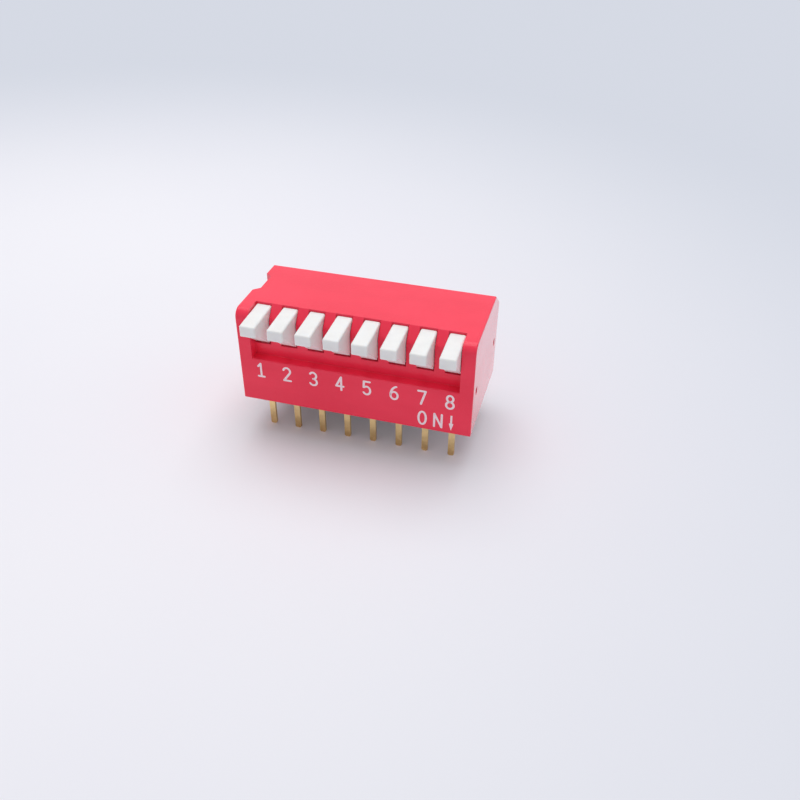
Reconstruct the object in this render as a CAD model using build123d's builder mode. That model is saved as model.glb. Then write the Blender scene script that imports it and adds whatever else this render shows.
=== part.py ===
"""Piano-key DIP switch: a moulded shell on a terminal base, with one rocking key for each position.

X runs along the row of keys, from position 1 to the last. The keys stand out towards -Y and +Z is up.
The origin is the centre of the pin grid, on the seating plane under the body. Millimetres.
"""

from build123d import *
from math import atan2, cos, pi, radians, sin, sqrt, tan
import os

# ---- driving dimensions: the pin grid and the body -------------------------------------------------
positions = 8
pitch = 2.54
row_spacing = 7.62
end_margin = 0.74  # body beyond the outer positions' own cells, at each end
body_depth = 11.1
body_height = 9.4
wall = 0.8  # deck, rear wall and rear slope
panel_wall = 0.8  # front panel, below the ledge
rear_slope_run = 2.1
rear_slope_drop = 1.6
crown_radius = 0.88  # rounded top front corner of the two cheeks
edge_round = 0.12  # small moulded rounding on the outside edges

# ---- key window: a drop is measured down from the deck, a set back from the front panel ------------
slot_width = 1.56
window_set_back = 1.0  # window plane, behind the front panel
window_wall = 0.7
ledge_drop = 4.9
deck_edge_set_back = 2.0  # front edge of the deck, behind the front panel
brow_drop = 1.04  # sloping stretch of each rib, under the deck edge
brow_run = 0.84
brow_curve = 0.74  # height in which the rib turns upright
slot_floor_drop = 3.72

# ---- keys ------------------------------------------------------------------------------------------
key_side_gap = 0.05
key_reach = 1.95  # front of the key, ahead of the front panel
key_front_drop = 0.32
key_back_drop = 0.2
key_lip_drop = 1.35
key_lip_depth = 0.5
key_heel_drop = 3.45
heel_gap = 0.1  # from the window plane to the back of the key's heel
stop_gap = 0.04  # under the shank with the key pressed
key_deck_gap = 0.05
key_round = 0.18
pivot_set_back = 2.65  # pivot axis, behind the front panel
pivot_drop = 3.5
travel_degrees = 14.0
hub_radius = 0.72
quadrant_radius = 2.6
quadrant_back = 1.2
trunnion_radius = 0.45
trunnion_length = 0.3
bearing_gap = 0.03
tail_thickness = 0.7
tail_bottom = 2.5

# ---- sprung contact on the tail --------------------------------------------------------------------
spring_thickness = 0.12
spring_width = 1.1
spring_top = 4.3
spring_front_top = 3.3
bead_radius = 0.45
bead_height = 3.1
contact_gap = 0.02  # between the bead and the terminal tabs, with the key pressed

# ---- base and terminals ----------------------------------------------------------------------------
base_thickness = 1.2
base_gap = 0.04
pin_length = 3.9
pin_width = 0.58
pin_thickness = 0.28
pin_tip_chamfer = 0.12
tab_width = 0.5
tab_split = 0.24  # between the two tabs of one position
tab_top = 3.9
bend_radius = 0.3
web_back = 0.95  # rear face of the inner webs, behind the pivot axis
web_bottom = 2.2
post_below_pivot = 0.3
post_gap = 0.03

# ---- index notch and latches -----------------------------------------------------------------------
notch_mouth = 3.46
notch_floor = 2.3
notch_depth = 0.65
latch_offset = 4.15
latch_height = 4.1
latch_width = 0.6
latch_tall = 0.7
latch_gap = 0.05
latch_groove = 0.55  # depth of the arm's groove in the inner face of the end wall
latch_nub_sunk = 0.1  # the nub ends this far inside the end face

# ---- places worked out from the sizes --------------------------------------------------------------
body_length = positions * pitch + 2 * end_margin
half_length = body_length / 2
half_depth = body_depth / 2
half_span = (positions - 1) * pitch / 2
key_places = [index * pitch - half_span for index in range(positions)]
web_places = [(index + 0.5) * pitch - half_span for index in range(positions - 1)]
web_thickness = pitch - slot_width
front = -half_depth
window_plane = front + window_set_back
chamber_front = window_plane + window_wall
deck_edge = front + deck_edge_set_back
deck_underside = body_height - wall
ledge_height = body_height - ledge_drop
slot_floor = body_height - slot_floor_drop
cavity_half_length = half_span + slot_width / 2
end_wall = half_length - cavity_half_length
pivot_y = front + pivot_set_back
pivot_height = body_height - pivot_drop
web_rear = pivot_y + web_back
key_width = slot_width - 2 * key_side_gap
key_front = front - key_reach
key_top_front = body_height - key_front_drop
key_top_back = body_height - key_back_drop
key_lip_bottom = body_height - key_lip_drop
key_heel_bottom = body_height - key_heel_drop
groove_half = trunnion_radius + bearing_gap
tail_back = pivot_y + tail_thickness / 2
tail_front = pivot_y - tail_thickness / 2
travel = radians(travel_degrees)
bead_swing = (tail_back - pivot_y) * cos(travel) + (pivot_height - bead_height) * sin(travel)
tab_face = pivot_y + bead_swing + bead_radius + contact_gap
pin_y = row_spacing / 2
grooved_half_length = cavity_half_length + trunnion_length + bearing_gap
latch_half_length = cavity_half_length + latch_groove
latch_top = latch_height + latch_tall / 2

os.makedirs("parts", exist_ok=True)


def finish(piece, name):
    """Label a finished piece and write it to its own file."""
    piece.part.label = name
    export_step(piece.part, f"parts/{name}.step")


# ---- housing ---------------------------------------------------------------------------------------
brow_y = deck_edge - brow_run
brow_z = body_height - brow_drop
slope_angle = atan2(rear_slope_drop, rear_slope_run)
roof_shift = wall * tan(slope_angle / 2)
back_shift = wall * tan((pi / 2 - slope_angle) / 2)

with BuildPart() as housing:
    # outside profile, seen from the right-hand end
    with BuildSketch(Plane.YZ) as outline:
        with BuildLine():
            Polyline(
                (front, 0),
                (front, body_height),
                (half_depth - rear_slope_run, body_height),
                (half_depth, body_height - rear_slope_drop),
                (half_depth, 0),
                close=True,
            )
        make_face()
        fillet(outline.vertices().group_by(Axis.X)[0].sort_by(Axis.Y)[-1], crown_radius)
    extrude(amount=half_length, both=True)
    # small rounding on the rear edges and round both ends, but not along the seating plane
    long_edges = housing.edges().filter_by(Axis.X).group_by(Axis.Z)
    rear_edges = long_edges[-1].sort_by(Axis.Y)[-1:] + long_edges[-2].sort_by(Axis.Y)[-1:]
    end_edges = housing.edges().group_by(Axis.X)[0] + housing.edges().group_by(Axis.X)[-1]
    fillet(rear_edges + end_edges.filter_by(lambda edge: edge.center().Z > edge_round), edge_round)

    # index notch, down the whole of the left-hand end
    with BuildSketch(Plane.XY):
        with BuildLine():
            Polyline(
                (-half_length, -notch_mouth / 2),
                (-half_length + notch_depth, -notch_floor / 2),
                (-half_length + notch_depth, notch_floor / 2),
                (-half_length, notch_mouth / 2),
                close=True,
            )
        make_face()
    extrude(amount=body_height, mode=Mode.SUBTRACT)

    # key window between the two cheeks: floor, upright plane, curve and sloping brow
    with BuildSketch(Plane.YZ):
        with BuildLine():
            Polyline(
                (window_plane, brow_z - brow_curve),
                (window_plane, ledge_height),
                (front - 1, ledge_height),
                (front - 1, body_height + 1),
                (deck_edge, body_height + 1),
                (deck_edge, body_height),
                (brow_y, brow_z),
            )
            TangentArc((brow_y, brow_z), (window_plane, brow_z - brow_curve), tangent=(-brow_run, -brow_drop))
        make_face()
    extrude(amount=cavity_half_length, both=True, mode=Mode.SUBTRACT)
    front_edges = housing.edges().filter_by(Axis.X).group_by(Axis.Y)[0].sort_by(Axis.Z)
    fillet(front_edges.filter_by(lambda edge: abs(edge.center().Z - ledge_height) < edge_round), edge_round)

    # inside: one room behind the window and a wider one behind the number panel
    with BuildSketch(Plane.YZ):
        with BuildLine():
            Polyline(
                (front + panel_wall, 0),
                (front + panel_wall, ledge_height - panel_wall),
                (chamber_front, ledge_height - panel_wall),
                (chamber_front, deck_underside),
                (half_depth - rear_slope_run - roof_shift, deck_underside),
                (half_depth - wall, body_height - rear_slope_drop - back_shift),
                (half_depth - wall, 0),
                close=True,
            )
        make_face()
    extrude(amount=cavity_half_length, both=True, mode=Mode.SUBTRACT)

    # webs between the positions, from the front wall to just behind the pivot
    for place in web_places:
        with BuildSketch(Plane.YZ.offset(place)):
            with Locations(((chamber_front + web_rear) / 2, (web_bottom + deck_underside) / 2)):
                Rectangle(web_rear - chamber_front, deck_underside - web_bottom)
        extrude(amount=web_thickness / 2, both=True)

    # key slots through the window wall, open up to the deck edge
    with BuildSketch(Plane.XZ.offset(-deck_edge)):
        with Locations(*[(place, slot_floor + slot_floor_drop / 2) for place in key_places]):
            Rectangle(slot_width, slot_floor_drop)
    extrude(amount=deck_edge - front, mode=Mode.SUBTRACT)

    # bearing grooves for the trunnions: round at the top and open downwards
    with BuildSketch(Plane.YZ):
        with Locations((pivot_y, pivot_height)):
            Circle(groove_half)
        with Locations((pivot_y, pivot_height / 2)):
            Rectangle(2 * groove_half, pivot_height)
    extrude(amount=grooved_half_length, both=True, mode=Mode.SUBTRACT)

    # latches: a groove inside each end wall for the arm, and a window for its nub
    with BuildSketch(Plane.YZ):
        with Locations((-latch_offset, latch_top / 2), (latch_offset, latch_top / 2)):
            Rectangle(latch_width, latch_top)
    extrude(amount=latch_half_length, both=True, mode=Mode.SUBTRACT)
    with BuildSketch(Plane.YZ):
        with Locations((-latch_offset, latch_height), (latch_offset, latch_height)):
            Rectangle(latch_width, latch_tall)
    extrude(amount=half_length, both=True, mode=Mode.SUBTRACT)
finish(housing, "housing")

# ---- terminals: one strip each, from the pin tip through the base to a tab beside its partner ------
strip_z = base_thickness + pin_thickness / 2
tab_y = tab_face + pin_thickness / 2
half_split = tab_split / 2
tab_outer = half_split + tab_width
taper = 0.5  # length in which a strip changes its width


def terminal(row):
    """One bent strip at x = 0. row is -1 at the front, with its tab at -X, and 1 at the rear."""
    pin_row = row * pin_y
    with BuildPart() as plan:
        with BuildSketch(Plane.XY.offset(-pin_length)):
            with Locations((0, pin_row)):
                Rectangle(pin_width, 2 * pin_thickness)
        extrude(amount=pin_length + base_thickness + 2 * pin_thickness)
        chamfer(plan.edges().group_by(Axis.Z)[0].filter_by(Axis.Y), pin_tip_chamfer)
        with BuildSketch(Plane.XY.offset(base_thickness)):
            with BuildLine():
                Polyline(
                    (-row * pin_width / 2, pin_row),
                    (-row * pin_width / 2, tab_y + row * 2 * taper),
                    (row * half_split, tab_y + row * taper),
                    (row * half_split, tab_y - row * taper),
                    (row * tab_outer, tab_y - row * taper),
                    (row * tab_outer, pin_row - row * 2 * taper),
                    (row * pin_width / 2, pin_row - row * taper),
                    (row * pin_width / 2, pin_row),
                    close=True,
                )
            make_face()
        extrude(amount=tab_top - base_thickness)
    with BuildPart() as strip:
        with BuildSketch(Plane.YZ):
            with BuildLine():
                FilletPolyline(
                    (pin_row, -pin_length),
                    (pin_row, strip_z),
                    (tab_y, strip_z),
                    (tab_y, tab_top),
                    radius=bend_radius,
                )
            trace(line_width=pin_thickness)
        extrude(amount=tab_outer, both=True)
        add(plan.part, mode=Mode.INTERSECT)
    return strip


for row, row_name in ((-1, "front"), (1, "rear")):
    master = terminal(row)
    for number, place in enumerate(key_places, start=1):
        with BuildPart() as placed_terminal:
            with Locations((place, 0, 0)):
                add(master.part)
        finish(placed_terminal, f"terminal_{row_name}_{number}")

# ---- base ------------------------------------------------------------------------------------------
plate_half_length = cavity_half_length - base_gap
plate_front = front + panel_wall + base_gap
plate_back = half_depth - wall - base_gap
post_top = pivot_height - post_below_pivot
post_depth = 2 * (groove_half - post_gap)
post_width = web_thickness - 2 * post_gap
latch_arm_width = latch_width - 2 * latch_gap

with BuildPart() as base:
    with BuildSketch(Plane.XY):
        with Locations((0, (plate_front + plate_back) / 2)):
            Rectangle(2 * plate_half_length, plate_back - plate_front)
    extrude(amount=base_thickness)
    # posts that hold the trunnions up in their grooves
    with BuildSketch(Plane.XY):
        with Locations(*[(place, pivot_y) for place in web_places]):
            Rectangle(post_width, post_depth)
    extrude(amount=post_top)
    with BuildSketch(Plane.XY):
        with GridLocations(2 * cavity_half_length + trunnion_length, 0, 2, 1):
            with Locations((0, pivot_y)):
                Rectangle(trunnion_length, post_depth)
    extrude(amount=post_top)
    with BuildSketch(Plane.XY):
        with GridLocations(2 * cavity_half_length, 0, 2, 1):
            with Locations((0, pivot_y)):
                Rectangle(4 * base_gap, post_depth)
    extrude(amount=base_thickness)
    # cylinder seats in the tops of the posts
    with BuildSketch(Plane.YZ):
        with Locations((pivot_y, pivot_height)):
            Circle(groove_half)
    extrude(amount=half_length, both=True, mode=Mode.SUBTRACT)
    # snap arms up the end walls, with their nubs in the latch windows
    arm_thickness = latch_groove - latch_gap
    with BuildSketch(Plane.XY):
        with GridLocations(2 * cavity_half_length + arm_thickness, 2 * latch_offset, 2, 2):
            Rectangle(arm_thickness, latch_arm_width)
    extrude(amount=latch_top - latch_gap)
    with BuildSketch(Plane.XY):
        with GridLocations(2 * cavity_half_length, 2 * latch_offset, 2, 2):
            Rectangle(4 * base_gap, latch_arm_width)
    extrude(amount=base_thickness)
    nub_length = half_length - latch_nub_sunk - cavity_half_length
    with BuildSketch(Plane.XY.offset(latch_height - latch_tall / 2 + latch_gap)):
        with GridLocations(2 * cavity_half_length + nub_length, 2 * latch_offset, 2, 2):
            Rectangle(nub_length, latch_arm_width)
    extrude(amount=latch_tall - 2 * latch_gap)
    # the terminals are moulded into the plate
    for row in (-1, 1):
        with Locations(*[(place, 0, 0) for place in key_places]):
            add(terminal(row).part, mode=Mode.SUBTRACT)
finish(base, "base")

# ---- keys ------------------------------------------------------------------------------------------
key_step = deck_edge - key_deck_gap
heel_y = window_plane - heel_gap


def shank_underside(y):
    """Height at rest of the underside that lies flat on the slot floor once the key has turned."""
    landed = slot_floor + stop_gap - pivot_height
    return pivot_height + (landed - (y - pivot_y) * sin(travel)) / cos(travel)


step_drop = sqrt(quadrant_radius**2 - (pivot_y - key_step) ** 2)
quadrant_drop = sqrt(quadrant_radius**2 - quadrant_back**2)
quadrant_middle = (key_step + pivot_y + quadrant_back) / 2
middle_drop = sqrt(quadrant_radius**2 - (quadrant_middle - pivot_y) ** 2)
quadrant_end = (pivot_y + quadrant_back, pivot_height + quadrant_drop)

with BuildPart() as key:
    with BuildSketch(Plane.YZ) as key_profile:
        with BuildLine():
            Polyline(
                quadrant_end,
                (pivot_y + hub_radius, pivot_height),
                (tail_back, pivot_height - hub_radius),
                (tail_back, tail_bottom),
                (tail_front, tail_bottom),
                (tail_front, pivot_height - hub_radius),
                (pivot_y - hub_radius, shank_underside(pivot_y - hub_radius)),
                (heel_y, shank_underside(heel_y)),
                (heel_y, key_heel_bottom),
                (key_front + key_lip_depth, key_lip_bottom),
                (key_front, key_lip_bottom),
                (key_front, key_top_front),
                (key_step, key_top_back),
                (key_step, pivot_height + step_drop),
            )
            ThreePointArc(
                (key_step, pivot_height + step_drop),
                (quadrant_middle, pivot_height + middle_drop),
                quadrant_end,
            )
        make_face()
        fillet(key_profile.vertices().group_by(Axis.X)[0].sort_by(Axis.Y)[-1], key_round)
    extrude(amount=key_width / 2, both=True)
    # soft moulded edges round the top and the front of the part that stands out of the window
    side_edges = key.edges().group_by(Axis.X)
    outside = (side_edges[0] + side_edges[-1]).filter_by(lambda edge: edge.center().Y < window_plane)
    fillet(outside.filter_by(lambda edge: edge.center().Z > key_lip_bottom), key_round)
    with BuildSketch(Plane.YZ):
        with Locations((pivot_y, pivot_height)):
            Circle(trunnion_radius)
    extrude(amount=key_width / 2 + trunnion_length, both=True)

# ---- sprung contact: a clip round the end of the tail, with a half-round bead that bridges the tabs -
with BuildPart() as spring:
    spring_low = tail_bottom - spring_thickness
    with BuildSketch(Plane.YZ) as spring_profile:
        with Locations((tail_back, bead_height)):
            Circle(bead_radius)
        with Locations((tail_back + spring_thickness / 2, (spring_top + spring_low) / 2)):
            Rectangle(spring_thickness, spring_top - spring_low)
        with Locations((tail_back, bead_height)):
            Circle(bead_radius - spring_thickness, mode=Mode.SUBTRACT)
        with Locations((pivot_y, (spring_low + spring_front_top) / 2)):
            Rectangle(tail_thickness + 2 * spring_thickness, spring_front_top - spring_low)
        with Locations((pivot_y, (tail_bottom + spring_top) / 2)):
            Rectangle(tail_thickness, spring_top - tail_bottom, mode=Mode.SUBTRACT)
    extrude(amount=spring_width / 2, both=True)

for number, place in enumerate(key_places, start=1):
    with BuildPart() as placed_key:
        with Locations((place, 0, 0)):
            add(key.part)
    finish(placed_key, f"key_{number}")
    with BuildPart() as placed_spring:
        with Locations((place, 0, 0)):
            add(spring.part)
    finish(placed_spring, f"contact_spring_{number}")
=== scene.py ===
"""Looks of the piano-key DIP switch.

Moulded finishes, plated metal and printed markings, with a table, soft light and a camera.
Everything is in metres in the frame of the part: X along the row of keys, the keys towards -Y,
Z up.
"""

from math import cos, pi, radians, sin

import bmesh
import bpy
from mathutils import Matrix, Vector


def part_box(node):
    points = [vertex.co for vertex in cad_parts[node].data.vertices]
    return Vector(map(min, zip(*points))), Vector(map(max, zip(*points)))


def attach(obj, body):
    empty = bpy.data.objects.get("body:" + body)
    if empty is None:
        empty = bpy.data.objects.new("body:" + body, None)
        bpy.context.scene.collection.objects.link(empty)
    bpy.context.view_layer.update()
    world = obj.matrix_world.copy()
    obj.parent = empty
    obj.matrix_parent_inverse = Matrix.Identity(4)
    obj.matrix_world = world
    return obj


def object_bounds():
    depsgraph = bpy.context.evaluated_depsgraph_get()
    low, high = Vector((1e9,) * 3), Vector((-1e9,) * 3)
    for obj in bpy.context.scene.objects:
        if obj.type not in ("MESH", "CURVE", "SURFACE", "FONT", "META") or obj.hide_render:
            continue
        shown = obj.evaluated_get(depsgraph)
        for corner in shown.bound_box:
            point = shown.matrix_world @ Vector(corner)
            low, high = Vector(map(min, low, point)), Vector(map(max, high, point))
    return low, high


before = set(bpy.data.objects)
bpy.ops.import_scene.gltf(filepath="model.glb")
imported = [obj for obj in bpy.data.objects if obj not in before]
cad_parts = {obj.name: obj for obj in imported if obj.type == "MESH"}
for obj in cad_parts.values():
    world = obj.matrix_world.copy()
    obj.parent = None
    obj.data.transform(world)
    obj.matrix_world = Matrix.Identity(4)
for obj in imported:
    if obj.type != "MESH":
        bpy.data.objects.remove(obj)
cad_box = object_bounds()

MM = 0.001
positions = sum(name.startswith("key_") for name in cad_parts)

# ---- moulded edges -----------------------------------------------------------------------------
housing_edge = 0.07 * MM  # radius that the sharp edges are eased over
key_edge = 0.06 * MM
base_edge = 0.06 * MM

# ---- printed markings --------------------------------------------------------------------------
ink_width = 0.205 * MM
ink_height = 0.012 * MM  # how far the ink stands on the panel
cap_turns = (pi / 6, pi / 3, 0.48 * pi)  # where the rounded end of a stroke has its points
glyph_height = 1.38 * MM  # between the centrelines of the top and bottom strokes
glyph_half_width = 0.34 * MM
number_row = 3.38 * MM  # height of the middle of the numbers
legend_row = 1.17 * MM  # height of the middle of the ON legend
legend_shift = 0.08 * MM  # from the middle of the last key but one to the middle of the O
legend_letters = 1.45 * MM  # from the middle of the O to the middle of the N
arrow_place = 2.66 * MM  # from the middle of the O to the arrow
arrow_reach = 0.18 * MM  # how far the tip goes below the lowest centreline of the letters
arrow_stem = 0.42 * ink_width  # half the width of the stem
arrow_head = 0.21 * MM  # half the width of the head
arrow_shoulders = -0.12 * MM  # where the head is widest, from the middle of the legend
arrow_neck = 0.05 * MM  # how far above its shoulders the head meets the stem

# ---- camera ------------------------------------------------------------------------------------
view_azimuth = radians(15.418)
view_elevation = radians(36.135)
view_roll = radians(0.61)
view_distance = 80.386 * MM
view_across = 2.713 * MM  # the aim is beside and below the origin of the part
view_up = -1.678 * MM
lens_length = 37.24
sensor_width = 36.0

# ---- table and light ---------------------------------------------------------------------------
sky_tint = (0.97, 0.985, 1.0)
sky_level = 0.56  # what the surroundings give to matt surfaces, where 1 is white
lamp_place = (-20 * MM, 80 * MM, 370 * MM)
lamp_size = 340 * MM
lamp_level = 0.6  # what the lamp adds to an upward surface, where 1 is white
horizon = (0.67, 0.70, 0.78)  # colour seen where the table fades into the surroundings
table_radius = 1500 * MM
table_gap = 0.004 * MM  # between the pin tips and the table
bright_spot = (-45 * MM, -5 * MM, 0.0)  # the table is palest round this place
fade_start = 30 * MM  # how far from there the table begins to fade
fade_end = 130 * MM  # how far from there it has faded out


# ---- finishes ----------------------------------------------------------------------------------
class Signal:
    """One output of a node. Arithmetic on it adds the Math nodes."""

    def __init__(self, nodes, socket):
        self.nodes, self.socket = nodes, socket

    def math(self, operation, first, second):
        return self.nodes.node("Math", {"operation": operation}, {0: first, 1: second})

    def __add__(self, other):
        return self.math("ADD", self, other)

    def __sub__(self, other):
        return self.math("SUBTRACT", self, other)

    def __rsub__(self, other):
        return self.math("SUBTRACT", other, self)

    def __mul__(self, other):
        return self.math("MULTIPLY", self, other)

    __radd__ = __add__
    __rmul__ = __mul__

    def other(self, name):
        """Another output of the same node."""
        return Signal(self.nodes, self.socket.node.outputs[name])

    def ramp(self, low, high, start=0.0, end=1.0):
        """A smooth step from start, where this is low, to end, where it is high."""
        return self.nodes.node(
            "MapRange",
            {"interpolation_type": "SMOOTHSTEP"},
            {"Value": self, "From Min": low, "From Max": high, "To Min": start, "To Max": end},
        )


class Nodes:
    """The nodes of a material or of the surroundings, added one by one."""

    def __init__(self, tree):
        self.tree = tree

    def feed(self, socket, value):
        """Gives a socket a link, or a constant."""
        if isinstance(value, Signal):
            self.tree.links.new(value.socket, socket)
        elif socket.type == "RGBA":
            socket.default_value = (*value, 1.0)
        else:
            socket.default_value = value

    def node(self, kind, settings=(), sockets=(), output=0):
        """Adds a node with its settings first, then the values or links of its sockets."""
        made = self.tree.nodes.new("ShaderNode" + kind)
        for name, value in dict(settings).items():
            setattr(made, name, value)
        for name, value in dict(sockets).items():
            self.feed(made.inputs[name], value)
        return Signal(self, made.outputs[output])

    def blend(self, share, first, second):
        """A colour between two."""
        sockets = {0: share, 6: first, 7: second}
        return self.node("Mix", {"data_type": "RGBA"}, sockets, output=2)


class Finish(Nodes):
    """A material, built round its main shader."""

    def __init__(self, name, **constants):
        self.material = bpy.data.materials.new(name)
        self.material.use_nodes = True
        super().__init__(self.material.node_tree)
        self.shader = self.tree.nodes["Principled BSDF"]
        for socket, value in constants.items():
            self.feed(self.shader.inputs[socket.replace("_", " ")], value)
        self.place = self.node("TexCoord", output="Object")

    def grain(self, size, detail=2.0, along=(1.0, 1.0, 1.0)):
        """Cloudy noise, 0 to 1, in spots about size wide; along divides that on each axis."""
        scaled = self.node("Mapping", {}, {"Vector": self.place, "Scale": along})
        sockets = {"Vector": scaled, "Scale": 1 / size, "Detail": detail}
        return self.node("TexNoise", {}, sockets)

    def softened(self, radius):
        """The surface direction with every edge eased over radius, and how much that turns it."""
        eased = self.node("Bevel", {"samples": 6}, {"Radius": radius})
        flat = self.node("NewGeometry", output="Normal")
        dot = {"operation": "DOT_PRODUCT"}
        turned = 1 - self.node("VectorMath", dot, {0: eased, 1: flat}, output="Value")
        return eased, turned

    def surface(self, colour, roughness, height=None, depth=0.0, normal=None):
        """Wires what varies over the surface to the main shader."""
        self.feed(self.shader.inputs["Base Color"], colour)
        self.feed(self.shader.inputs["Roughness"], roughness)
        if height is not None:
            sockets = {"Height": height, "Distance": depth}
            if normal is not None:
                sockets["Normal"] = normal
            self.feed(self.shader.inputs["Normal"], self.node("Bump", {}, sockets))
        return self.material


def housing_finish():
    """Satin red thermoplastic: fine mould grain, faint flow clouds, paler rubbed edges."""
    deep_red, bright_red = (0.92, 0.024, 0.070), (0.98, 0.033, 0.084)
    speck_red, rubbed_red = (0.98, 0.08, 0.13), (0.98, 0.16, 0.22)
    finish = Finish("red_moulded_plastic", IOR=1.4, Coat_IOR=1.45, Coat_Roughness=0.12)
    eased, turned = finish.softened(housing_edge)
    flow = finish.grain(5.0 * MM, 3.0, along=(0.5, 1.0, 1.6))
    specks = finish.grain(0.2 * MM)
    grain = finish.grain(0.09 * MM, 3.0)
    rubbed = turned.ramp(0.01, 0.2) * finish.grain(0.9 * MM).ramp(0.3, 0.6, 0.4, 1.0)
    red = finish.blend(flow.ramp(0.35, 0.7), deep_red, bright_red)
    red = finish.blend(specks.ramp(0.55, 0.75) * 0.12, red, speck_red)
    red = finish.blend(rubbed * 0.35, red, rubbed_red)
    roughness = 0.26 + flow * 0.07 + specks * 0.05 - rubbed * 0.05
    # the end faces come from polished sides of the mould
    facing = finish.node("TexCoord", output="Normal")
    endways = finish.node("SeparateXYZ", {}, {"Vector": facing}, output="X")
    polish = (endways * endways).ramp(0.5, 0.95) * flow.ramp(0.2, 0.6, 0.8, 1.0) + 0.1
    finish.feed(finish.shader.inputs["Coat Weight"], polish)
    return finish.surface(red, roughness, grain + specks * 0.8, 0.011 * MM, eased)


def key_finish():
    """Satin white thermoplastic, slightly translucent, with fine grain and handled edges."""
    shaded_white, clear_white = (0.84, 0.835, 0.83), (0.88, 0.875, 0.87)
    handled_white = (0.76, 0.755, 0.75)
    finish = Finish(
        "white_moulded_plastic",
        IOR=1.45,
        Subsurface_Weight=0.25,
        Subsurface_Radius=(1.0, 0.9, 0.8),
        Subsurface_Scale=0.35 * MM,
    )
    eased, turned = finish.softened(key_edge)
    clouds = finish.grain(1.4 * MM, 3.0)
    specks = finish.grain(0.16 * MM)
    grain = finish.grain(0.08 * MM, 3.0)
    handled = turned.ramp(0.01, 0.25) * clouds.ramp(0.35, 0.65)
    white = finish.blend(clouds.ramp(0.3, 0.7), shaded_white, clear_white)
    white = finish.blend(handled * 0.25, white, handled_white)
    roughness = 0.33 + clouds * 0.1 + specks * 0.04
    return finish.surface(white, roughness, grain + specks * 0.7, 0.008 * MM, eased)


def base_finish():
    """Matt black thermoplastic with a coarser grain, dusty in patches and pale at its edges."""
    deep_black, dusty_black = (0.022, 0.022, 0.025), (0.05, 0.05, 0.053)
    rubbed_black = (0.11, 0.11, 0.115)
    finish = Finish("black_moulded_plastic", IOR=1.5)
    eased, turned = finish.softened(base_edge)
    dust = finish.grain(1.8 * MM, 4.0)
    grain = finish.grain(0.1 * MM, 3.0)
    black = finish.blend(dust.ramp(0.5, 0.8), deep_black, dusty_black)
    black = finish.blend(turned.ramp(0.02, 0.3) * 0.4, black, rubbed_black)
    return finish.surface(black, 0.48 + dust * 0.15, grain, 0.008 * MM, eased)


def plated_finish(name, bright_gold, tip=None):
    """Gold-plated strip: rolling lines along it, cloudy plating, and painted shade that darkens
    it towards a tip, where it is also rougher.
    """
    dull_gold = tuple(0.88 * channel for channel in bright_gold)
    # painted shade: the dark brown that the lower part of a pin is darkened towards
    painted_shade_gold = (0.46, 0.25, 0.10)
    finish = Finish(name, Metallic=1.0)
    clouds = finish.grain(0.7 * MM, 3.0)
    lines = finish.grain(0.05 * MM, along=(1.0, 1.0, 0.06))
    gold = finish.blend(clouds.ramp(0.35, 0.7), bright_gold, dull_gold)
    roughness = 0.22 + clouds * 0.1 + lines * 0.06
    if tip is not None:
        # painted shade: darker in patches towards the tip, where the body's shadow falls on the
        # pin
        painted_shade_start = 0.35 * tip
        height = finish.node("SeparateXYZ", {}, {"Vector": finish.place}, output="Z")
        painted_shade = height.ramp(tip, painted_shade_start, 1.0, 0.0) * clouds.ramp(0.2, 0.6, 0.55, 1.0)
        gold = finish.blend(painted_shade * 0.7, gold, painted_shade_gold)
        roughness = roughness + painted_shade * 0.16
    return finish.surface(gold, roughness, lines, 0.003 * MM)


def ink_finish():
    """Pale pad-printed ink, a little thin where the panel shows through."""
    full_ink, thin_ink = (0.99, 0.80, 0.85), (0.93, 0.48, 0.56)
    finish = Finish("pale_ink", IOR=1.45)
    thin = finish.grain(0.22 * MM, 3.0)
    grain = finish.grain(0.05 * MM)
    pale = finish.blend(thin.ramp(0.5, 0.8) * 0.35, full_ink, thin_ink)
    return finish.surface(pale, 0.5 + thin * 0.1, grain, 0.003 * MM)


pin_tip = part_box("terminal_front_1")[0].z
finishes = {  # by the first word of a node's name
    "housing": housing_finish(),
    "base": base_finish(),
    "key": key_finish(),
    "terminal": plated_finish("gold_plated_pin", (0.98, 0.77, 0.38), tip=pin_tip),
    "contact": plated_finish("gold_plated_spring", (0.88, 0.66, 0.33)),
}
for name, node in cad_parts.items():
    node.data.materials.clear()
    node.data.materials.append(finishes[name.split("_")[0]])


# ---- printed markings --------------------------------------------------------------------------
def arc(centre, radii, start, end, steps=18):
    """Points of an elliptical arc in a glyph's box, from one angle to another in degrees."""
    angles = [radians(start + (end - start) * step / steps) for step in range(steps + 1)]
    return [(centre[0] + radii[0] * cos(a), centre[1] + radii[1] * sin(a)) for a in angles]


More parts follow.
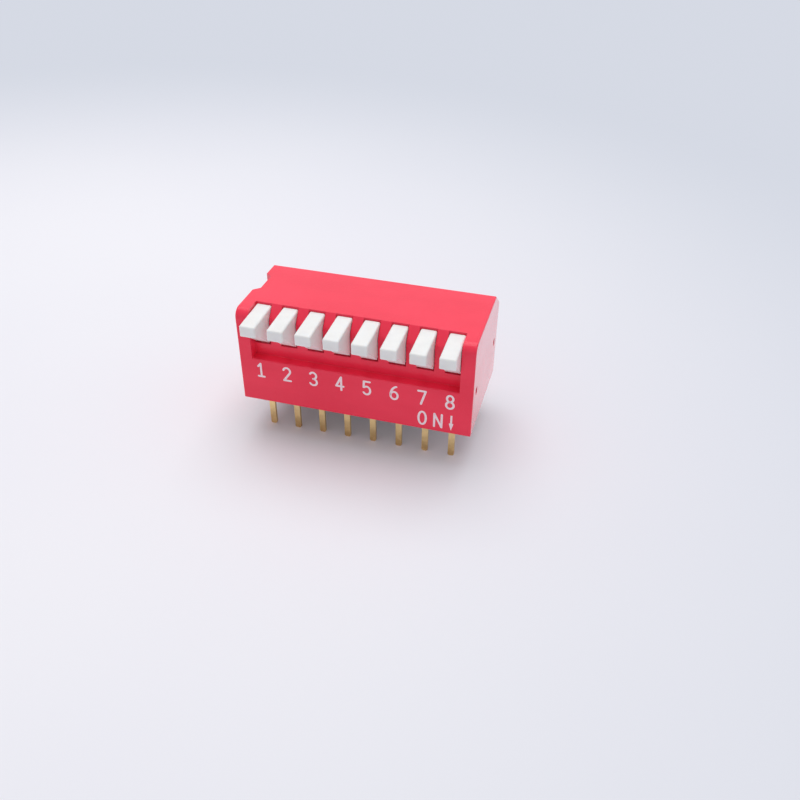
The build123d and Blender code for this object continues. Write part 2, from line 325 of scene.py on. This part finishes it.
# Strokes of each glyph, in a box from -1 to 1 both ways. A stroke whose ends meet is a loop.
glyphs = {
    "1": [[(-0.75, 0.55), (0.0, 1.0)], [(0.0, 1.0), (0.0, -1.0)], [(-0.85, -1.0), (0.85, -1.0)]],
    "2": [
        arc((0.0, 0.48), (0.95, 0.52), 165, -35) + [(-0.95, -1.0)],
        [(-0.95, -1.0), (1.0, -1.0)],
    ],
    "3": [
        arc((0.0, 0.5), (0.9, 0.5), 150, -90),
        arc((0.0, -0.5), (1.0, 0.5), 90, -152),
    ],
    "4": [[(0.4, -1.0), (0.4, 1.0)], [(0.4, 1.0), (-1.0, -0.42)], [(-1.0, -0.42), (1.0, -0.42)]],
    "5": [
        [(0.85, 1.0), (-0.75, 1.0)],
        [(-0.75, 1.0), (-0.85, 0.08)],
        [(-0.85, 0.08)] + arc((-0.05, -0.38), (1.0, 0.62), 125, -145),
    ],
    "6": [
        arc((0.0, -0.42), (0.97, 0.58), 0, 360),
        arc((0.97, -0.42), (1.94, 1.42), 180, 102),
    ],
    "7": [[(-1.0, 1.0), (1.0, 1.0)], [(1.0, 1.0), (-0.2, -1.0)]],
    "8": [
        arc((0.0, 0.52), (0.84, 0.48), 0, 360),
        arc((0.0, -0.48), (1.0, 0.52), 0, 360),
    ],
    "O": [arc((0.0, 0.0), (1.0, 1.0), 0, 360, steps=28)],
    "N": [[(-1.0, -1.0), (-1.0, 1.0)], [(-1.0, 1.0), (1.0, -1.0)], [(1.0, -1.0), (1.0, 1.0)]],
}


def rounded_end(tip, inner):
    """Places and widths that round off a line of ink past its tip, away from the inner point."""
    outward = (tip - inner).normalized() * ink_width / 2
    return [(tip + outward * sin(turn), cos(turn)) for turn in cap_turns]


def ink_spline(curve, stroke):
    """Adds a stroke of ink to a curve: a closed loop, or a line whose ends are rounded."""
    points = [Vector((x * glyph_half_width, z * glyph_height / 2, 0)) for x, z in stroke]
    closed = (points[0] - points[-1]).length < ink_width / 100
    if closed:
        knots = [(place, 1.0) for place in points[:-1]]
    else:
        knots = rounded_end(points[0], points[1])[::-1]
        knots += [(place, 1.0) for place in points]
        knots += rounded_end(points[-1], points[-2])
    spline = curve.splines.new("POLY")
    spline.points.add(len(knots) - 1)
    for knot, (place, width) in zip(spline.points, knots):
        knot.co, knot.radius = (*place, 1.0), width
    spline.use_cyclic_u = closed


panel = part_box("housing")[0].y
stand_up = Matrix.Rotation(pi / 2, 4, "X")
ink = ink_finish()


def put_on_panel(name, mesh, across, height):
    """Stands a flat marking on the front panel and makes it part of the body."""
    mesh.transform(Matrix.Translation((across, panel, height)) @ stand_up)
    mesh.materials.append(ink)
    piece = bpy.data.objects.new(name, mesh)
    bpy.context.scene.collection.objects.link(piece)
    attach(piece, "body")


def print_glyph(name, glyph, across, height):
    """One number or letter, as low rounded strokes of ink."""
    curve = bpy.data.curves.new(name, "CURVE")
    curve.dimensions = "3D"
    curve.bevel_depth = ink_width / 2
    curve.bevel_resolution = 3
    curve.use_fill_caps = True
    for stroke in glyphs[glyph]:
        ink_spline(curve, stroke)
    drawn = bpy.data.objects.new(name + "_strokes", curve)
    mesh = bpy.data.meshes.new_from_object(drawn)
    bpy.data.objects.remove(drawn)
    mesh.transform(Matrix.Diagonal((1.0, 1.0, 2 * ink_height / ink_width, 1.0)))
    for polygon in mesh.polygons:
        polygon.use_smooth = True
    put_on_panel(name, mesh, across, height)


def print_arrow(name, across, height):
    """The arrow that shows which way a key goes: a thin stem above a solid head."""
    top = glyph_height / 2 + ink_width / 2
    tip = -glyph_height / 2 - arrow_reach
    neck = arrow_shoulders + arrow_neck
    outline = [
        (0.0, tip),
        (arrow_head, arrow_shoulders),
        (arrow_stem, neck),
        (arrow_stem, top),
        (-arrow_stem, top),
        (-arrow_stem, neck),
        (-arrow_head, arrow_shoulders),
    ]
    form = bmesh.new()
    face = form.faces.new([form.verts.new((x, z, 0.0)) for x, z in outline])
    raised = bmesh.ops.extrude_face_region(form, geom=[face])["geom"]
    lifted = [part for part in raised if isinstance(part, bmesh.types.BMVert)]
    bmesh.ops.translate(form, verts=lifted, vec=(0, 0, ink_height))
    bmesh.ops.bevel(
        form,
        geom=[e for e in form.edges if all(v.co.z > ink_height / 2 for v in e.verts)],
        offset=ink_height * 0.6,
        segments=2,
        profile=0.5,
        affect="EDGES",
        material=-1,
    )
    bmesh.ops.recalc_face_normals(form, faces=form.faces)
    mesh = bpy.data.meshes.new(name)
    form.to_mesh(mesh)
    form.free()
    put_on_panel(name, mesh, across, height)


def key_middle(number):
    """Where the middle of a key is along the row."""
    low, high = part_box(f"key_{number}")
    return (low.x + high.x) / 2


for number in range(1, positions + 1):
    print_glyph(f"print_number_{number}", str(number), key_middle(number), number_row)
legend_start = key_middle(positions - 1) + legend_shift
print_glyph("print_letter_O", "O", legend_start, legend_row)
print_glyph("print_letter_N", "N", legend_start + legend_letters, legend_row)
print_arrow("print_arrow", legend_start + arrow_place, legend_row)


# ---- table, light and camera -------------------------------------------------------------------
def table_finish():
    """Plain pale table that fades into the surroundings, clear when seen from below."""
    pale_grey, paler_grey = (0.86, 0.85, 0.91), (0.88, 0.87, 0.92)
    finish = Finish("pale_table", Specular_IOR_Level=0.1)
    clouds = finish.grain(60 * MM)
    pale = finish.blend(clouds.ramp(0.3, 0.7), pale_grey, paler_grey)
    material = finish.surface(pale, 0.75 + clouds * 0.1)
    apart = {"operation": "DISTANCE"}
    away = finish.node("VectorMath", apart, {0: finish.place, 1: bright_spot}, output="Value")
    haze = finish.node("Emission", {}, {"Color": horizon})
    clear = finish.node("BsdfTransparent")
    below = finish.node("NewGeometry", output="Backfacing")
    main = Signal(finish, finish.shader.outputs["BSDF"])
    faded = away.ramp(fade_start, fade_end)
    seen = finish.node("MixShader", {}, {0: faded, 1: main, 2: haze})
    both = finish.node("MixShader", {}, {0: below, 1: seen, 2: clear})
    finish.feed(finish.tree.nodes["Material Output"].inputs["Surface"], both)
    return material


def lay_table():
    """The round table top just under the pin tips."""
    form = bmesh.new()
    bmesh.ops.create_circle(form, cap_ends=True, segments=96, radius=table_radius)
    bmesh.ops.translate(form, verts=form.verts, vec=(0, 0, cad_box[0].z - table_gap))
    mesh = bpy.data.meshes.new("floor")
    form.to_mesh(mesh)
    form.free()
    mesh.materials.append(table_finish())
    floor = bpy.data.objects.new("floor", mesh)
    bpy.context.scene.collection.objects.link(floor)


def light_surroundings():
    """Pale surroundings: the horizon where seen, white in reflections, softer as light."""
    world = bpy.data.worlds.new("surroundings")
    bpy.context.scene.world = world
    world.use_nodes = True
    sky = Nodes(world.node_tree)
    path = sky.node("LightPath", output="Is Camera Ray")
    mirrored = path.other("Is Glossy Ray") + path.other("Is Transmission Ray")
    soft_sky = tuple(sky_level * channel for channel in sky_tint)
    colour = sky.blend(path, sky.blend(mirrored, soft_sky, sky_tint), horizon)
    sky.feed(sky.tree.nodes["Background"].inputs["Color"], colour)


def hang_lamp():
    """A square soft lamp aimed at the part."""
    place = Vector(lamp_place)
    lamp = bpy.data.lights.new("window_lamp", "AREA")
    lamp.shape = "SQUARE"
    lamp.size = lamp_size
    lamp.energy = lamp_level * pi**2 * place.length**3 / place.z
    holder = bpy.data.objects.new("window_lamp", lamp)
    turn = place.to_track_quat("Z", "Y").to_matrix().to_4x4()
    holder.matrix_world = Matrix.Translation(place) @ turn
    bpy.context.scene.collection.objects.link(holder)


def set_camera():
    """Looks down on the front and the key 8 end."""
    back = Vector(
        (
            sin(view_azimuth) * cos(view_elevation),
            -cos(view_azimuth) * cos(view_elevation),
            sin(view_elevation),
        )
    )
    level = Vector((cos(view_azimuth), sin(view_azimuth), 0.0))
    upright = back.cross(level)
    right = level * cos(view_roll) + upright * sin(view_roll)
    up = upright * cos(view_roll) - level * sin(view_roll)
    camera = bpy.data.cameras.new("camera")
    camera.lens = lens_length
    camera.sensor_width = sensor_width
    camera.clip_start = 5 * MM
    holder = bpy.data.objects.new("camera", camera)
    turn = Matrix((right, up, back)).transposed().to_4x4()
    place = right * view_across + up * view_up + back * view_distance
    holder.matrix_world = Matrix.Translation(place) @ turn
    bpy.context.scene.collection.objects.link(holder)
    bpy.context.scene.camera = holder


lay_table()
light_surroundings()
hang_lamp()
set_camera()
bpy.context.scene.view_settings.view_transform = "Standard"
